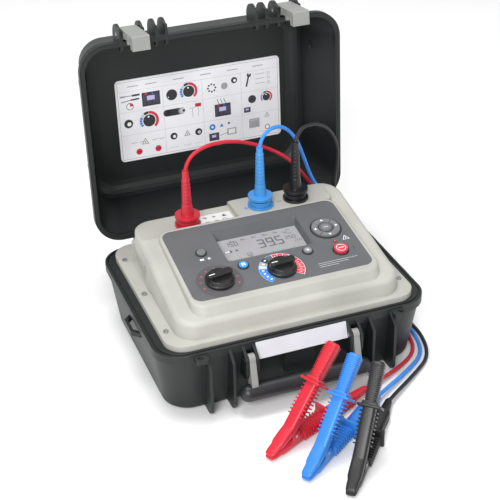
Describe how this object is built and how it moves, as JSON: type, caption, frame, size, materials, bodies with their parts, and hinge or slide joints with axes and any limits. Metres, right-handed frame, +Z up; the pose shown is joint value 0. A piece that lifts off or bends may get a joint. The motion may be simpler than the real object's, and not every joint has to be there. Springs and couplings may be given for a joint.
{
  "type": "insulation resistance tester",
  "caption": "Portable insulation tester in an open hinged carry case: stepped panel with display, knobs and keys, plugged test leads with large insulated clips.",
  "frame": {"origin": "centre of the case's underside, on the floor", "axes": "+X to the right seen from the front, +Y to the hinge side, +Z up"},
  "size_m": [0.4037, 0.5998, 0.3964],
  "materials": {
    "case_plastic": "matt moulded, fine grain",
    "black_plastic": "matt moulded",
    "housing_plastic": "satin moulded",
    "fascia_print": "matt printed film",
    "card": "semi-gloss printed card",
    "latch_grey": "satin moulded",
    "glass": "clear window",
    "lcd": "display glass",
    "board": "coated board",
    "steel": "bright steel",
    "rubber": "soft seal",
    "key_grey": "satin keys",
    "blue": "satin",
    "red": "satin",
    "black": "satin",
    "cord_red": "silicone",
    "cord_blue": "silicone",
    "cord_black": "silicone",
    "led": "clear red lens",
    "battery": "wrapped cells"
  },
  "bodies": {
    "case": {"base_shell": "case_plastic", "hinge_pins": "steel", "front_label": "card", "strap_loops": "case_plastic", "handle_pins": "steel", "panel_housing": "housing_plastic", "housing_screws": "steel", "fascia": "fascia_print", "key_rings": "black_plastic", "lcd_bezel": "black_plastic", "lcd_window": "glass", "lcd_module": "lcd", "keypad_board": "board", "switch_domes": "steel", "status_led": "led", "rotary_switches": "black_plastic", "clip_pins": "steel", "side_inlet": "black_plastic", "battery_pack": "battery", "high_voltage_module": "black_plastic", "main_board": "board", "board_posts": "steel", "socket_red": "red", "plug_red": "red", "lead_red": "cord_red", "coil_red": "cord_red", "clip_bottom_red": "red", "socket_blue": "blue", "plug_blue": "blue", "lead_blue": "cord_blue", "coil_blue": "cord_blue", "clip_bottom_blue": "blue", "socket_black": "black", "plug_black": "black", "lead_black": "cord_black", "coil_black": "cord_black", "clip_bottom_black": "black"},
    "lid": {"lid_shell": "case_plastic", "lid_seal": "rubber", "lid_card": "card", "lid_screws": "steel", "latch_pins": "steel"},
    "latch_left": {"latch_left": "latch_grey"},
    "latch_right": {"latch_right": "latch_grey"},
    "handle": {"handle_grip": "black_plastic", "handle_arms": "latch_grey"},
    "knob_function": {"knob_function": "black_plastic"},
    "knob_range": {"knob_range": "black_plastic"},
    "key_alarm": {"key_alarm": "key_grey"},
    "key_save": {"key_save": "blue"},
    "key_light": {"key_light": "key_grey"},
    "key_test": {"key_test": "red"},
    "nav_middle": {"nav_middle": "key_grey"},
    "nav_right": {"nav_right": "key_grey"},
    "nav_up": {"nav_up": "key_grey"},
    "nav_left": {"nav_left": "key_grey"},
    "nav_down": {"nav_down": "key_grey"},
    "clip_top_red": {"clip_top_red": "red"},
    "clip_top_blue": {"clip_top_blue": "blue"},
    "clip_top_black": {"clip_top_black": "black"}
  },
  "joints": [
    {"name": "lid_hinge", "type": "hinge", "parent": "case", "child": "lid", "pos_m": [0, 0.1433, 0.0962], "axis": [1, 0, 0], "range_deg": [0, 40]},
    {"name": "latch_left_pivot", "type": "hinge", "parent": "lid", "child": "latch_left", "pos_m": [-0.10725, 0.17356, 0.38128], "axis": [-1, 0, 0], "range_deg": [0, 75]},
    {"name": "latch_right_pivot", "type": "hinge", "parent": "lid", "child": "latch_right", "pos_m": [0.10725, 0.17356, 0.38128], "axis": [-1, 0, 0], "range_deg": [0, 75]},
    {"name": "handle_pivot", "type": "hinge", "parent": "case", "child": "handle", "pos_m": [0, -0.146, 0.073], "axis": [-1, 0, 0], "range_deg": [0, 35]},
    {"name": "knob_function_turn", "type": "hinge", "parent": "case", "child": "knob_function", "pos_m": [-0.078, -0.06667, 0.13944], "axis": [0, -0.1564, 0.9877], "range_deg": [-150, 150]},
    {"name": "knob_range_turn", "type": "hinge", "parent": "case", "child": "knob_range", "pos_m": [0.0035, -0.06914, 0.13905], "axis": [0, -0.1564, 0.9877], "range_deg": [-150, 150]},
    {"name": "key_alarm_press", "type": "slide", "parent": "case", "child": "key_alarm", "axis": [0, 0.1564, -0.9877], "range_m": [0, 0.0012], "stiffness_N_per_m": 400, "springref_m": -0.0006},
    {"name": "key_save_press", "type": "slide", "parent": "case", "child": "key_save", "axis": [0, 0.1564, -0.9877], "range_m": [0, 0.0012], "stiffness_N_per_m": 400, "springref_m": -0.0006},
    {"name": "key_light_press", "type": "slide", "parent": "case", "child": "key_light", "axis": [0, 0.1564, -0.9877], "range_m": [0, 0.0012], "stiffness_N_per_m": 400, "springref_m": -0.0006},
    {"name": "key_test_press", "type": "slide", "parent": "case", "child": "key_test", "axis": [0, 0.1564, -0.9877], "range_m": [0, 0.0012], "stiffness_N_per_m": 400, "springref_m": -0.0006},
    {"name": "nav_middle_press", "type": "slide", "parent": "case", "child": "nav_middle", "axis": [0, 0.1564, -0.9877], "range_m": [0, 0.0012], "stiffness_N_per_m": 400, "springref_m": -0.0006},
    {"name": "nav_right_press", "type": "slide", "parent": "case", "child": "nav_right", "axis": [0, 0.1564, -0.9877], "range_m": [0, 0.0012], "stiffness_N_per_m": 400, "springref_m": -0.0006},
    {"name": "nav_up_press", "type": "slide", "parent": "case", "child": "nav_up", "axis": [0, 0.1564, -0.9877], "range_m": [0, 0.0012], "stiffness_N_per_m": 400, "springref_m": -0.0006},
    {"name": "nav_left_press", "type": "slide", "parent": "case", "child": "nav_left", "axis": [0, 0.1564, -0.9877], "range_m": [0, 0.0012], "stiffness_N_per_m": 400, "springref_m": -0.0006},
    {"name": "nav_down_press", "type": "slide", "parent": "case", "child": "nav_down", "axis": [0, 0.1564, -0.9877], "range_m": [0, 0.0012], "stiffness_N_per_m": 400, "springref_m": -0.0006},
    {"name": "clip_red_jaw", "type": "hinge", "parent": "case", "child": "clip_top_red", "pos_m": [-0.05157, -0.23148, 0.017], "axis": [-0.4131, 0.9107, 0], "range_deg": [0, 16], "stiffness_Nm_per_rad": 1.5, "springref_deg": -8.59},
    {"name": "clip_blue_jaw", "type": "hinge", "parent": "case", "child": "clip_top_blue", "pos_m": [-0.03036, -0.2743, 0.017], "axis": [-0.585, 0.8111, 0], "range_deg": [0, 16], "stiffness_Nm_per_rad": 1.5, "springref_deg": -8.59},
    {"name": "clip_black_jaw", "type": "hinge", "parent": "case", "child": "clip_top_black", "pos_m": [-0.00072, -0.31078, 0.017], "axis": [-0.7581, 0.6521, 0], "range_deg": [0, 16], "stiffness_Nm_per_rad": 1.5, "springref_deg": -8.59}
  ]
}
